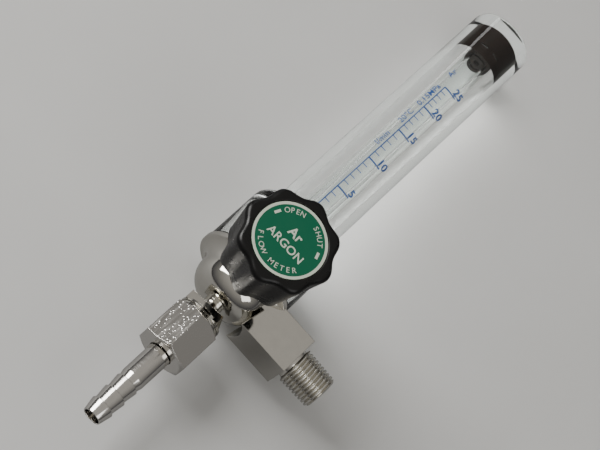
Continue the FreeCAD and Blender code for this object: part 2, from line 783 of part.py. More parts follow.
# ---------------------------------------------------------------- knob
def knob():
    body = doc.addObject("PartDesign::Body", "knob")
    turn(
        body,
        [
            ("spindle_radius + 0.02", "hub_start"),
            ("hub_radius", "hub_start"),
            ("hub_radius", "cavity_floor"),
            ("knob_cavity", "cavity_floor"),
            ("knob_cavity", "knob_back"),
            ("knob_back_radius", "knob_back"),
            ("knob_front_radius", "knob_face - knob_edge"),
            ("knob_front_radius - knob_edge", "knob_face", "knob_edge + 0.2", 1),
            ("recess_radius", "knob_face"),
            ("recess_radius", "label_recess"),
            ("head_room", "label_recess"),
            ("head_room", "head_start"),
            ("tap_radius", "head_start"),
            ("tap_radius", "spindle_end + 0.1"),
            ("spindle_radius + 0.02", "spindle_end + 0.1"),
        ],
    )
    scoop = body.newObject("PartDesign::SubtractiveCone", "Scoop")
    step = 360 / value("lobe_count")
    heading = FreeCAD.Rotation(FreeCAD.Vector(0, 0, 1), value("lobe_turn") + step / 2)
    away = value("knob_front_radius - scoop_depth + scoop_radius")
    scoop.Placement = FreeCAD.Placement(heading.multVec(FreeCAD.Vector(away, 0, 0)), heading)
    # the hollows keep one depth while the knob narrows to its back
    bind(
        scoop,
        Radius1="scoop_radius + knob_front_radius - knob_back_radius",
        Radius2="scoop_radius",
        Height="knob_face - knob_back + 0.2",
        Placement__Base__z="knob_back - 0.1",
    )
    doc.recompute()
    single = body.Shape.Volume
    lobes = body.newObject("PartDesign::PolarPattern", "Lobes")
    lobes.Originals = [scoop]
    lobes.Axis = (body.Origin.OriginFeatures[2], [""])
    lobes.Angle = 360
    bind(lobes, Occurrences="lobe_count")
    body.Tip = lobes
    doc.recompute()
    if body.Shape.Volume > single - 1:
        raise ValueError("the knob's hollows were not repeated")
    finish(body, "knob", "valve")
    turned("knob_label", "valve", [
        ("0", "label_recess"),
        ("label_radius", "label_recess"),
        ("label_radius", "label_face"),
        ("0", "label_face"),
    ])
    turned("knob_screw", "valve", [
        ("0", "shank_start"),
        ("shank_radius", "shank_start"),
        ("shank_radius", "head_start"),
        ("head_radius", "head_start"),
        ("head_radius", "head_end"),
        ("0", "head_end"),
    ])


valve_body()
cover()
metering()
stopper()
outlet()
inlet()
valve()
knob()
doc.recompute()

for thing in doc.Objects:
    if "Invalid" in thing.State or "Error" in thing.State:
        raise ValueError(f"{thing.Name} failed: {thing.State}")
os.makedirs("parts", exist_ok=True)
for thing in FINISHED:
    if thing.Shape.isNull() or not thing.Shape.isValid() or thing.Shape.Volume < 1e-3:
        raise ValueError(f"{thing.Label} has no sound shape")
    thing.Shape.exportStep(f"parts/{thing.Label}.step")
    print(f"{thing.Label:18s} {thing.Shape.Volume:9.1f} mm3, {len(thing.Shape.Solids)} solid")
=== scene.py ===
"""Studio scene for the argon flow meter: fine geometry, materials, floor, light and camera."""
import json
import math

import bmesh
import bpy
from mathutils import Matrix, Vector


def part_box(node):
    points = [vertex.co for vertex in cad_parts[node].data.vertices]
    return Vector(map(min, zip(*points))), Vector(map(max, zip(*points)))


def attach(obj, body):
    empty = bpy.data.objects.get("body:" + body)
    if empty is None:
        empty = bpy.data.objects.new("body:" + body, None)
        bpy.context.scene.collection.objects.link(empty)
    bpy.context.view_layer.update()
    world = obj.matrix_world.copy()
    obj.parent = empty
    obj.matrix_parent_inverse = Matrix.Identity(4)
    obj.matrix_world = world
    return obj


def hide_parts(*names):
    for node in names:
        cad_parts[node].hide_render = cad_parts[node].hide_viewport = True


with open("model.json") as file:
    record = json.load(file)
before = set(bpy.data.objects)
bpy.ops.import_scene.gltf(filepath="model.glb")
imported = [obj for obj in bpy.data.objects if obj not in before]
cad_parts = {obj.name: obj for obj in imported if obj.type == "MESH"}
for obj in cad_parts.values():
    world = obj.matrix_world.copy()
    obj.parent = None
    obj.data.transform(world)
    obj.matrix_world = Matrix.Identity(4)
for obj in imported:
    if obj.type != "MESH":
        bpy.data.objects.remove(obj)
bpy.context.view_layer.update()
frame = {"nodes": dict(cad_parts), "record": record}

MM = 0.001


# ---------------------------------------------------------------- where things are
def centre(node):
    low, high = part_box(node)
    return (low + high) / 2


def span(node, axis):
    """Lowest and highest millimetre of a node along a row axis."""
    low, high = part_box(node)
    return low[axis] / MM, high[axis] / MM


# Pieces are built in millimetres round their own +Z axis, and these matrices put them in the row frame.
IN_MM = Matrix.Scale(MM, 4)
ON_TUBE = Matrix.Translation((centre("outer_tube").x, centre("outer_tube").y, 0)) @ IN_MM
ON_VALVE = (
    Matrix.Translation((centre("knob_label").x, 0, centre("knob_label").z))
    @ Matrix.Rotation(math.radians(90), 4, "X")
    @ IN_MM
)
ON_INLET = (
    Matrix.Translation((0, centre("inlet_nipple").y, centre("inlet_nipple").z))
    @ Matrix.Rotation(math.radians(90), 4, "Y")
    @ IN_MM
)
COVER_BASE, COVER_TOP = span("outer_tube", 2)
PLUG_BASE, PLUG_TOP = span("tube_stopper", 2)
METER_BASE, METER_TOP = span("metering_tube", 2)
TAIL_END, TAIL_HEAD = span("hose_tail", 2)
THREAD_END = span("inlet_nipple", 0)[1]
KNOB_FACE, KNOB_BACK = (-edge for edge in span("knob", 1))
LABEL_FACE = -span("knob_label", 1)[0]


# ---------------------------------------------------------------- mesh helpers
def rounded(outline, steps=5):
    """A closed outline with rounded corners. A corner is (radius, height) or (radius, height, rounding)."""
    points = []
    for index, corner in enumerate(outline):
        here = Vector(corner[:2])
        if len(corner) == 2:
            points.append(here)
            continue
        before = (Vector(outline[index - 1][:2]) - here).normalized()
        after = (Vector(outline[(index + 1) % len(outline)][:2]) - here).normalized()
        half = before.angle(after) / 2
        middle = here + (before + after).normalized() * corner[2] / math.sin(half)
        start = here + before * corner[2] / math.tan(half) - middle
        end = here + after * corner[2] / math.tan(half) - middle
        for step in range(steps + 1):
            way = start.lerp(end, step / steps).normalized()
            points.append(middle + way * corner[2])
    return points


def swept(outline, turns=128, bend=None):
    """A solid turned about Z from a closed outline. bend(angle, radius, height) may give another radius."""
    mesh = bmesh.new()
    rings = []
    for point in outline:
        if point.x < 1e-6:
            rings.append([mesh.verts.new((0, 0, point.y))])
            continue
        ring = []
        for turn in range(turns):
            angle = 2 * math.pi * turn / turns
            radius = bend(angle, point.x, point.y) if bend else point.x
            ring.append(mesh.verts.new((radius * math.cos(angle), radius * math.sin(angle), point.y)))
        rings.append(ring)
    for low, high in zip(rings, rings[1:] + rings[:1]):
        for turn in range(turns):
            after = turn + 1
            corners = [
                low[turn % len(low)],
                low[after % len(low)],
                high[after % len(high)],
                high[turn % len(high)],
            ]
            corners = list(dict.fromkeys(corners))
            if len(corners) > 2:
                mesh.faces.new(corners)
    bmesh.ops.recalc_face_normals(mesh, faces=mesh.faces)
    return mesh


def add_piece(name, mesh, place, material, body, stands_for=(), sharp=30):
    """Turns a bmesh in millimetres into a finished piece that rides on a body."""
    mesh.transform(place)
    data = bpy.data.meshes.new(name)
    mesh.to_mesh(data)
    mesh.free()
    data.shade_smooth()
    data.set_sharp_from_angle(angle=math.radians(sharp))
    data.materials.append(material)
    piece = bpy.data.objects.new(name, data)
    bpy.context.scene.collection.objects.link(piece)
    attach(piece, body)
    if stands_for:
        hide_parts(*stands_for)
    return piece


# ---------------------------------------------------------------- materials
# Stretches for the rings that turning leaves, by the axis that the part was turned about.
ALONG_X, ALONG_Y, ALONG_Z = (1, 6, 6), (6, 1, 6), (6, 6, 1)


class Shader:
    """A Principled material with helpers for the nodes that every finish here uses."""

    def __init__(self, name, colour, roughness, metallic=0.0, **sockets):
        self.material = bpy.data.materials.new(name)
        self.material.use_nodes = True
        self.nodes = self.material.node_tree.nodes
        self.links = self.material.node_tree.links
        self.main = self.nodes["Principled BSDF"]
        self.main.inputs["Base Color"].default_value = (*colour, 1)
        self.main.inputs["Roughness"].default_value = roughness
        self.main.inputs["Metallic"].default_value = metallic
        for key, amount in sockets.items():
            self.main.inputs[key.replace("_", " ")].default_value = amount
        self.place = self.nodes.new("ShaderNodeTexCoord").outputs["Object"]

    def cells(self, per_mm, stretch=(1, 1, 1)):
        """Coordinates with so many units to the millimetre, stretched along the row axes."""
        mapping = self.nodes.new("ShaderNodeMapping")
        mapping.inputs["Scale"].default_value = [per_mm / MM / amount for amount in stretch]
        self.links.new(self.place, mapping.inputs["Vector"])
        return mapping.outputs["Vector"]

    def noise(self, per_mm, detail=3.0, stretch=(1, 1, 1)):
        """Noise with so many cells to the millimetre, stretched along the row axes."""
        noise = self.nodes.new("ShaderNodeTexNoise")
        noise.inputs["Scale"].default_value = 1.0
        noise.inputs["Detail"].default_value = detail
        self.links.new(self.cells(per_mm, stretch), noise.inputs["Vector"])
        return noise.outputs["Fac"]

    def dots(self, per_mm, size):
        """1 on scattered round dots, one in each cell. A dot's radius is size cells, with a soft edge."""
        voronoi = self.nodes.new("ShaderNodeTexVoronoi")
        voronoi.inputs["Scale"].default_value = 1.0
        self.links.new(self.cells(per_mm), voronoi.inputs["Vector"])
        return self.ramp(voronoi.outputs["Distance"], size, size * 0.6)

    def ramp(self, value, low, high, out_low=0.0, out_high=1.0):
        """The value stretched so that low..high becomes out_low..out_high, and held beyond."""
        node = self.nodes.new("ShaderNodeMapRange")
        ends = {"From Min": low, "From Max": high, "To Min": out_low, "To Max": out_high}
        for socket, amount in ends.items():
            node.inputs[socket].default_value = amount
        self.links.new(value, node.inputs["Value"])
        return node.outputs["Result"]

    def product(self, one, other):
        node = self.nodes.new("ShaderNodeMath")
        node.operation = "MULTIPLY"
        self.links.new(one, node.inputs[0])
        self.links.new(other, node.inputs[1])
        return node.outputs["Value"]

    def colours(self, value, dark, light):
        """Base colour that runs from dark to light with a value."""
        mix = self.nodes.new("ShaderNodeMix")
        mix.data_type = "RGBA"
        mix.inputs["A"].default_value = (*dark, 1)
        mix.inputs["B"].default_value = (*light, 1)
        self.links.new(value, mix.inputs["Factor"])
        self.links.new(mix.outputs["Result"], self.main.inputs["Base Color"])

    def roughness(self, value, low, high):
        self.links.new(self.ramp(value, 0.3, 0.7, low, high), self.main.inputs["Roughness"])

    def facing(self, direction, least, full):
        """1 where the surface faces a direction of the row frame, 0 elsewhere."""
        dot = self.nodes.new("ShaderNodeVectorMath")
        dot.operation = "DOT_PRODUCT"
        coordinates = self.nodes.new("ShaderNodeTexCoord")
        self.links.new(coordinates.outputs["Normal"], dot.inputs[0])
        dot.inputs[1].default_value = direction
        return self.ramp(dot.outputs["Value"], least, full)

    def relief(self, *layers, edge=0.0):
        """Bump from (value, height in mm) layers, over edges rounded by edge mm."""
        normal = None
        if edge:
            bevel = self.nodes.new("ShaderNodeBevel")
            bevel.samples = 4
            bevel.inputs["Radius"].default_value = edge * MM
            normal = bevel.outputs["Normal"]
        for value, height in layers:
            bump = self.nodes.new("ShaderNodeBump")
            bump.inputs["Strength"].default_value = 1.0
            bump.inputs["Distance"].default_value = height * MM
            self.links.new(value, bump.inputs["Height"])
            if normal:
                self.links.new(normal, bump.inputs["Normal"])
            normal = bump.outputs["Normal"]
        self.links.new(normal, self.main.inputs["Normal"])


def plated(name, tint=(0.80, 0.78, 0.72), edge=0.35, ripple=0.004, rough=(0.04, 0.10)):
    """Chrome plating: warm-grey mirror, faint ripple, and cloudier patches from handling."""
    shader = Shader(name, tint, rough[0], 1.0)
    clouds = shader.noise(0.35, detail=4)
    shader.roughness(clouds, *rough)
    shader.colours(clouds, [c * 0.9 for c in tint], tint)
    waves, orange_peel = shader.noise(0.16, detail=1.5), shader.noise(2.2)
    shader.relief((waves, ripple * 10), (orange_peel, ripple * 0.12), edge=edge)
    return shader.material


# The one nut flat that carries the pits; their lighter colour there is painted glint.
GLINT_FACE = (-math.sin(math.radians(30)), -math.cos(math.radians(30)), 0)


def worn_nut():
    """The union nut's plating: brushed all over, and specked on one flat with pits whose colour is painted
    lighter than the plating, as painted glints.
    """
    shader = Shader("nut_plating", (0.78, 0.76, 0.72), 0.1, 1.0)
    glint_face = shader.facing(GLINT_FACE, 0.9, 0.97)
    speck_patches = shader.ramp(shader.noise(0.3, detail=2), 0.36, 0.5)
    # Pits with a small bump, painted lighter than the plating: real pits with painted glints, kept to one
    # flat.
    pits_with_glints = shader.product(shader.product(shader.dots(1.0, 0.3), speck_patches), glint_face)
    brushed = shader.noise(1.2, detail=2, stretch=(1, 1, 9))
    shader.roughness(brushed, 0.08, 0.2)
    shader.colours(pits_with_glints, (0.78, 0.76, 0.72), (0.92, 0.91, 0.88))
    shader.relief((pits_with_glints, 0.05), (brushed, 0.002), edge=0.3)
    return shader.material


def turned_metal(name, tint, rough=(0.12, 0.24), height=0.002, edge=0.1, rings_along=ALONG_Z):
    """Metal with the fine rings that a lathe leaves, along an axis of the row frame."""
    shader = Shader(name, tint, rough[0], 1.0)
    rings = shader.noise(4.0, detail=2, stretch=rings_along)
    shader.roughness(rings, *rough)
    shader.colours(shader.noise(0.5), [c * 0.88 for c in tint], tint)
    shader.relief((rings, height), edge=edge)
    return shader.material


def clear(name, tint, index, scratches):
    """Clear wall: polished, with faint scuffs along it."""
    shader = Shader(name, tint, 0.0, 0.0, Transmission_Weight=1.0, IOR=index)
    scuffs = shader.noise(0.8, detail=5, stretch=(1, 1, 18))
    shader.links.new(shader.ramp(scuffs, 0.55, 0.8, 0.0, scratches), shader.main.inputs["Roughness"])
    shader.relief((shader.noise(0.06, detail=1, stretch=(1, 1, 5)), 0.03))
    return shader.material


def moulded(name, colour, rough, grain=0.004, per_mm=3.0, gloss=0.5, light=None):
    """Moulded plastic or rubber: fine grain, slightly uneven gloss and shade."""
    shader = Shader(name, colour, rough[0], Specular_IOR_Level=gloss)
    patches = shader.noise(0.25, detail=5)
    shader.roughness(patches, *rough)
    shader.colours(patches, colour, light or [min(1, c * 1.35) for c in colour])
    shader.relief((shader.noise(per_mm, detail=3), grain), edge=0.12)
    return shader.material


def knob_plastic():
    """Black moulding, greyer where fingers have polished and chipped its rim."""
    shader = Shader("knob_black", (0.004, 0.004, 0.004), 0.36, Specular_IOR_Level=0.35)
    patches = shader.noise(0.3, detail=5)
    wear = shader.product(shader.ramp(shader.noise(1.1, detail=5), 0.52, 0.7), worn_edges(shader))
    shader.colours(wear, (0.004, 0.004, 0.004), (0.10, 0.09, 0.075))
    shader.roughness(patches, 0.24, 0.38)
    shader.relief((shader.noise(2.6, detail=3), 0.002), (shader.noise(0.12, detail=2), 0.06), edge=0.3)
    return shader.material


def worn_edges(shader):
    """1 on sharp convex edges, by how far a bevelled normal leans from the true one."""
    bevel = shader.nodes.new("ShaderNodeBevel")
    bevel.samples = 4
    bevel.inputs["Radius"].default_value = 0.45 * MM
    geometry = shader.nodes.new("ShaderNodeNewGeometry")
    dot = shader.nodes.new("ShaderNodeVectorMath")
    dot.operation = "DOT_PRODUCT"
    shader.links.new(bevel.outputs["Normal"], dot.inputs[0])
    shader.links.new(geometry.outputs["Normal"], dot.inputs[1])
    return shader.ramp(dot.outputs["Value"], 0.985, 0.90)


def label_film():
    """Green printed film, slightly mottled, with a soft gloss."""
    shader = Shader("label_green", (0.002, 0.10, 0.05), 0.4, Specular_IOR_Level=0.3)
    print_grain = shader.noise(5.0, detail=3)
    shader.colours(print_grain, (0.001, 0.085, 0.042), (0.003, 0.12, 0.06))
    shader.roughness(shader.noise(0.4, detail=4), 0.36, 0.5)
    shader.relief((shader.noise(0.5, detail=2), 0.01))
    return shader.material


MATERIALS = {
    "body_chrome": plated("body_chrome_plate"),
    "outlet_chrome": plated("outlet_chrome_plate", edge=0.18, rough=(0.05, 0.14)),
    "nut_chrome": worn_nut(),
    "tail_chrome": turned_metal("tail_plate", (0.80, 0.78, 0.74), rough=(0.09, 0.17)),
    "thread_chrome": turned_metal(
        "thread_plate", (0.82, 0.80, 0.74), (0.16, 0.2), height=0.0005, edge=0.04, rings_along=ALONG_X
    ),
    "clear_cover": clear("cover_clear", (0.955, 0.985, 0.975), 1.49, 0.05),
    "meter_glass": clear("meter_clear", (0.97, 0.985, 0.98), 1.18, 0.02),
    "black_plastic": moulded(
        "stopper_black", (0.005, 0.003, 0.002), (0.3, 0.42), gloss=0.12, light=(0.013, 0.008, 0.006)
    ),
    "white_plastic": moulded("white_moulding", (0.74, 0.74, 0.70), (0.4, 0.55)),
    "knob_plastic": knob_plastic(),
    "label_film": label_film(),
    "black_rubber": moulded("black_rubber", (0.010, 0.010, 0.011), (0.55, 0.75), grain=0.01),
    "pale_rubber": moulded("pale_rubber", (0.62, 0.62, 0.58), (0.5, 0.7), grain=0.01),
    "float_steel": plated("float_mirror", ripple=0.001, rough=(0.03, 0.07)),
    "filter_bronze": moulded("sintered_bronze", (0.35, 0.22, 0.10), (0.5, 0.8), grain=0.08, per_mm=4.0),
    "bonnet_brass": turned_metal("turned_brass", (0.78, 0.60, 0.32), rings_along=ALONG_Y),
    "needle_steel": turned_metal("turned_steel", (0.60, 0.60, 0.60), rings_along=ALONG_Y),
    "spindle_steel": turned_metal("spindle_turned", (0.66, 0.66, 0.64), rings_along=ALONG_Y),
}
INK = moulded("scale_ink", (0.0, 0.045, 0.22), (0.4, 0.6), light=(0.0, 0.07, 0.30))
PRINT_WHITE = moulded("label_print", (0.50, 0.56, 0.46), (0.4, 0.55), light=(0.62, 0.66, 0.56))


def dress_nodes():
    """Every node that is kept takes the finish of its slot in the record."""
    for entry in frame["record"]["subparts"]:
        data = frame["nodes"][entry["node"]].data
        data.materials.clear()
        data.materials.append(MATERIALS[entry["material_slot"]])


# ---------------------------------------------------------------- clear walls
COVER_RADIUS = 12.0
COVER_BORE = 5.65
FOOT_RADIUS = 17.5
FOOT_BORE = 14.2
SHOULDER_OUTSIDE = 33.0
SHOULDER_INSIDE = 27.5
SHOULDER_ROUNDING = 2.7
GRIP = 0.04  # how much the cover closes in round the stopper, which leaves no film of air between them


def add_cover():
    """The clear cover: thick tube, closed and rounded at its top, flared to a wide foot."""
    outline = [
        (FOOT_BORE, COVER_BASE, 0.3),
        (FOOT_RADIUS, COVER_BASE, 0.5),
        (FOOT_RADIUS, SHOULDER_OUTSIDE, SHOULDER_ROUNDING),
        (COVER_RADIUS, SHOULDER_OUTSIDE, SHOULDER_ROUNDING),
        (COVER_RADIUS, COVER_TOP, 2.0),
        (0, COVER_TOP),
        (0, PLUG_TOP - GRIP),
        (COVER_BORE - GRIP, PLUG_TOP - GRIP, 0.3),
        (COVER_BORE - GRIP, PLUG_BASE - 0.1),
        (COVER_BORE, PLUG_BASE - 0.3),
        (COVER_BORE, SHOULDER_INSIDE, 0.8),
        (FOOT_BORE, SHOULDER_INSIDE, 0.8),
    ]
    mesh = swept(rounded(outline, steps=8), turns=192)
    add_piece("cover", mesh, ON_TUBE, MATERIALS["clear_cover"], "meter", ["outer_tube"])


METER_RADIUS = 4.2
METER_BORE_BELOW, METER_BORE_ABOVE = 2.45, 3.0


def add_metering_tube():
    """The inner tube, ground flat at both ends, its bore opening slightly upwards."""
    outline = [
        (METER_BORE_BELOW, METER_BASE, 0.2),
        (METER_RADIUS, METER_BASE, 0.2),
        (METER_RADIUS, METER_TOP, 0.3),
        (METER_BORE_ABOVE, METER_TOP, 0.2),
    ]
    mesh = swept(rounded(outline), turns=160)
    glass = MATERIALS["meter_glass"]
    add_piece("inner_tube", mesh, ON_TUBE, glass, "meter", ["metering_tube"])


def let_light_through():
    """The clear walls cast no shadow, so that what is in them and behind them is lit."""
    for node in ("outer_tube", "metering_tube"):
        frame["nodes"][node].visible_shadow = False
    for piece in ("cover", "inner_tube"):
        bpy.data.objects[piece].visible_shadow = False


# ---------------------------------------------------------------- lettering
PRINT_HALF = 0.012  # half the thickness of the print
CAPITAL_SHARE = 0.70  # a capital's height as a share of the font's size
CUT_LENGTH = 0.4  # the most that a bar runs before its next cut


def letters(text, height, weight=0.0, condense=1.0):
    """A mesh of flat letters with their middle at the origin, reading along +X."""
    curve = bpy.data.curves.new("letters", "FONT")
    curve.body = text
    curve.size = height / CAPITAL_SHARE
    curve.align_x = "CENTER"
    curve.align_y = "CENTER"
    curve.offset = weight
    curve.extrude = PRINT_HALF
    curve.space_character = 1.04
    carrier = bpy.data.objects.new("letters", curve)
    data = bpy.data.meshes.new_from_object(carrier)
    mesh = bmesh.new()
    mesh.from_mesh(data)
    mesh.transform(Matrix.Diagonal((condense, 1, 1, 1)))
    bpy.data.objects.remove(carrier)
    bpy.data.curves.remove(curve)
    bpy.data.meshes.remove(data)
    return mesh


def stroke(low_x, low_y, high_x, high_y):
    """A thin printed bar, cut up across its length so that it can bend."""
    mesh = bmesh.new()
    cuts = max(1, round((high_x - low_x) / CUT_LENGTH))
    for face in (-PRINT_HALF, PRINT_HALF):
        for cut in range(cuts + 1):
            x = low_x + (high_x - low_x) * cut / cuts
            mesh.verts.new((x, low_y, face))
            mesh.verts.new((x, high_y, face))
    mesh.verts.ensure_lookup_table()
    side = 2 * (cuts + 1)
    for cut in range(cuts):
        under = [2 * cut, 2 * cut + 1, 2 * cut + 3, 2 * cut + 2]
        over = [corner + side for corner in under]
        mesh.faces.new([mesh.verts[corner] for corner in under])
        mesh.faces.new([mesh.verts[corner] for corner in over])
        for edge in ((0, 3), (1, 2)):
            one, other = under[edge[0]], under[edge[1]]
            mesh.faces.new([mesh.verts[c] for c in (one, other, other + side, one + side)])
    for end in (0, 2 * cuts):
        mesh.faces.new([mesh.verts[c] for c in (end, end + 1, end + 1 + side, end + side)])
    bmesh.ops.recalc_face_normals(mesh, faces=mesh.faces)
    return mesh


def gathered(parts):
    """One bmesh from (bmesh, matrix) pairs."""
    whole = bmesh.new()
    for mesh, matrix in parts:
        mesh.transform(matrix)
        data = bpy.data.meshes.new("part")
        mesh.to_mesh(data)
        mesh.free()
        whole.from_mesh(data)
        bpy.data.meshes.remove(data)
    return whole


def rolled(mesh, radius):
    """Bends a flat print round the tube: X runs round its front, Y up it."""
    for vertex in mesh.verts:
        angle = vertex.co.x / radius
        distance = radius + vertex.co.z
        vertex.co = Vector((distance * math.sin(angle), -distance * math.cos(angle), vertex.co.y))
    return mesh


# ---------------------------------------------------------------- flow scale
# Heights by flow: the marks close up towards the top, where the bore is wider.
LONG_MARKS = {0: 32.9, 5: 49.1, 10: 65.1, 15: 80.8, 20: 94.3, 25: 105.9}
LONG_EVERY = 5
SCALE_START, SCALE_END = 2, 25
SCALE_LINE = -1.5
LINE_HALF = 0.2
LONG_REACH, LONG_HALF = 5.5, 0.3
SHORT_REACH, SHORT_HALF = 2.2, 0.17
NUMBER_HEIGHT, NOTE_HEIGHT = 2.8, 1.95
SCALE_NOTES = {"l/min": 74.3, "20°C": 86.9, "0.15MPa": 99.2, "Ar": 112.2}
INK_LIFT = 0.03
READING_UP = Matrix.Rotation(math.radians(90), 4, "Z")


def mark_height(flow):
    """Height of a mark, evenly spaced between its two long neighbours."""
    below = min(flow // LONG_EVERY * LONG_EVERY, SCALE_END - LONG_EVERY)
    share = (flow - below) / LONG_EVERY
    return LONG_MARKS[below] * (1 - share) + LONG_MARKS[below + LONG_EVERY] * share


def add_flow_scale():
    """Flow marks in litres a minute, printed on the front of the cover."""
    start, end = mark_height(SCALE_START), mark_height(SCALE_END)
    parts = [(stroke(SCALE_LINE - LINE_HALF, start, SCALE_LINE + LINE_HALF, end), Matrix())]
    for flow in range(SCALE_START, SCALE_END + 1):
        height = mark_height(flow)
        is_long = flow % LONG_EVERY == 0
        reach, half = (LONG_REACH, LONG_HALF) if is_long else (SHORT_REACH, SHORT_HALF)
        parts.append((stroke(SCALE_LINE, height - half, SCALE_LINE + reach, height + half), Matrix()))
        if is_long:
            place = Matrix.Translation((SCALE_LINE + 5.3, height + 1.9, 0))
            parts.append((letters(str(flow), NUMBER_HEIGHT, weight=0.12), place))
    for text, height in SCALE_NOTES.items():
        place = Matrix.Translation((SCALE_LINE - 1.8, height, 0)) @ READING_UP
        parts.append((letters(text, NOTE_HEIGHT, weight=0.05, condense=1.15), place))
    mesh = rolled(gathered(parts), COVER_RADIUS + INK_LIFT)
    add_piece("flow_scale", mesh, ON_TUBE, INK, "meter")


# ---------------------------------------------------------------- knob
LOBES = 8
LOBE_TURN = math.radians(5)
LOBE_DEPTH = 1.6
ROUND_WITHIN, LOBED_BEYOND = 12.7, 13.9
FACE_RADIUS, BACK_RADIUS = 16.6, 14.6
RECESS_RADIUS, RECESS_FLOOR = 12.3, LABEL_FACE - 0.6
SKIRT_BORE, SKIRT_END = 11.8, KNOB_FACE - 7
HUB_RADIUS = 5.2
SPINDLE_HOLE, SPINDLE_END = 2.52, LABEL_FACE - 6
SCREW_HOLE, SCREW_HEAD_HOLE, SCREW_SEAT = 1.6, 3.1, LABEL_FACE - 3.3


def lobed(angle, radius, height):
    """The knob's outside runs in and out eight times a turn; its inside stays round."""
    share = min(1, max(0, (radius - ROUND_WITHIN) / (LOBED_BEYOND - ROUND_WITHIN)))
    wave = (1 - math.cos(LOBES * (angle - LOBE_TURN))) / 2
    return radius - LOBE_DEPTH * wave * share


def add_knob():
    """The lobed knob: a hollow skirt round a hub, with a shallow recess in its face for the label."""
    outline = [
        (SPINDLE_HOLE, KNOB_BACK + 2.1),
        (HUB_RADIUS, KNOB_BACK + 2.1, 0.3),
        (HUB_RADIUS, SKIRT_END, 0.5),
        (SKIRT_BORE, SKIRT_END, 0.8),
        (SKIRT_BORE, KNOB_BACK, 0.2),
        (BACK_RADIUS, KNOB_BACK, 0.5),
        (FACE_RADIUS, KNOB_FACE, 1.7),
        (RECESS_RADIUS + 0.05, KNOB_FACE, 0.25),
        (RECESS_RADIUS, RECESS_FLOOR),
        (SCREW_HEAD_HOLE, RECESS_FLOOR),
        (SCREW_HEAD_HOLE, SCREW_SEAT),
        (SCREW_HOLE, SCREW_SEAT),
        (SCREW_HOLE, SPINDLE_END),
        (SPINDLE_HOLE, SPINDLE_END),
    ]
    mesh = swept(rounded(outline, steps=8), turns=256, bend=lobed)
    add_piece("lobed_knob", mesh, ON_VALVE, MATERIALS["knob_plastic"], "knob", ["knob"])


PRINT_ARC = 9.4
ARC_HEIGHT = 1.7
DASH_HALF_LENGTH, DASH_HALF_WIDTH = 1.1, 0.45
RIM_INSIDE, RIM_OUTSIDE, RIM_THICKNESS = 11.2, 12.12, 0.05


def on_arc(text, middle, step, reading_out=True):
    """Letters one by one round the label, step degrees apart, with the middle of the word at a bearing."""
    parts = []
    way = -1 if reading_out else 1
    first = middle - way * step * (len(text) - 1) / 2
    for index, letter in enumerate(text):
        bearing = math.radians(first + way * step * index)
        turn = bearing - math.pi / 2 if reading_out else bearing + math.pi / 2
        place = Matrix.Translation((PRINT_ARC * math.cos(bearing), PRINT_ARC * math.sin(bearing), 0))
        if letter != " ":
            parts.append((letters(letter, ARC_HEIGHT, weight=0.01), place @ Matrix.Rotation(turn, 4, "Z")))
    return parts


def add_label_print():
    """What is printed on the label: a rim, the two turning directions and what the meter is for."""
    rim = [(RIM_INSIDE, 0), (RIM_OUTSIDE, 0), (RIM_OUTSIDE, RIM_THICKNESS), (RIM_INSIDE, RIM_THICKNESS)]
    parts = [(swept(rounded(rim), turns=160), Matrix())]
    parts += on_arc("OPEN", 124, 10.4)
    parts += on_arc("SHUT", 57, 10.8)
    parts += on_arc("FLOW METER", 268, 12.0, reading_out=False)
    for bearing in (159, 20):
        turn = Matrix.Rotation(math.radians(bearing), 4, "Z")
        dash = stroke(-DASH_HALF_LENGTH, -DASH_HALF_WIDTH, DASH_HALF_LENGTH, DASH_HALF_WIDTH)
        parts.append((dash, turn @ Matrix.Translation((PRINT_ARC + 0.05, 0, 0)) @ READING_UP))
    parts.append((letters("Ar", 3.1, weight=0.1), Matrix.Translation((0, 2.5, 0))))
    parts.append((letters("ARGON", 2.7, weight=0.06), Matrix.Translation((0, -2.2, 0))))
    mesh = gathered(parts)
    mesh.transform(Matrix.Translation((0, 0, LABEL_FACE + PRINT_HALF)))
    add_piece("label_print", mesh, ON_VALVE, PRINT_WHITE, "knob")


# ---------------------------------------------------------------- hose tail
BARBS = (-57.2, -51.8, -46.5)
BARB_CREST, BARB_ROOT, BARB_TIP = 4.25, 3.6, 3.3
SHANK_START, SHANK_END = -44.0, -32.0
NECK_RADIUS, NECK_START = 3.8, -31.6
HEAD_RADIUS, HEAD_BASE = 5.7, -28.2
TAIL_BORE, TAIL_THROAT = 2.85, 2.0


def add_hose_tail():
    """The hose tail: three barbs, a plain shank, and a neck and head that the union nut holds."""
    outline = [(TAIL_BORE, TAIL_END, 0.2), (BARB_TIP, TAIL_END, 0.2)]
    for barb in BARBS:
        outline += [(BARB_CREST, barb, 0.15), (BARB_ROOT, barb, 0.2)]
    outline += [
        (BARB_CREST - 0.05, SHANK_START, 2.0),
        (BARB_CREST, SHANK_END, 0.1),
        (NECK_RADIUS, NECK_START, 0.05),
        (NECK_RADIUS, HEAD_BASE, 0.1),
        (HEAD_RADIUS, HEAD_BASE, 0.2),
        (HEAD_RADIUS, TAIL_HEAD, 0.2),
        (TAIL_THROAT, TAIL_HEAD, 0.1),
        (TAIL_THROAT, HEAD_BASE),
        (TAIL_BORE, HEAD_BASE - 2),
    ]
    mesh = swept(rounded(outline), turns=128)
    add_piece("barbed_tail", mesh, ON_TUBE, MATERIALS["tail_chrome"], "meter", ["hose_tail"])


# ---------------------------------------------------------------- inlet thread
PITCH = 1.337
THREAD_DEPTH = 0.856
CREST = 6.72
TAPER = 1 / 32  # what the radius loses along the thread, for a taper of 1 in 16
CHAMFER_RADIUS = 5.55
SLEEVE_INSIDE = 5.2
CORE_RADIUS = 5.25
RELIEF = 5.7
SPIGOT_RADIUS, SPIGOT_END = 4.95, -5.5
INLET_BORE, INLET_THROAT = 3.0, 2.0


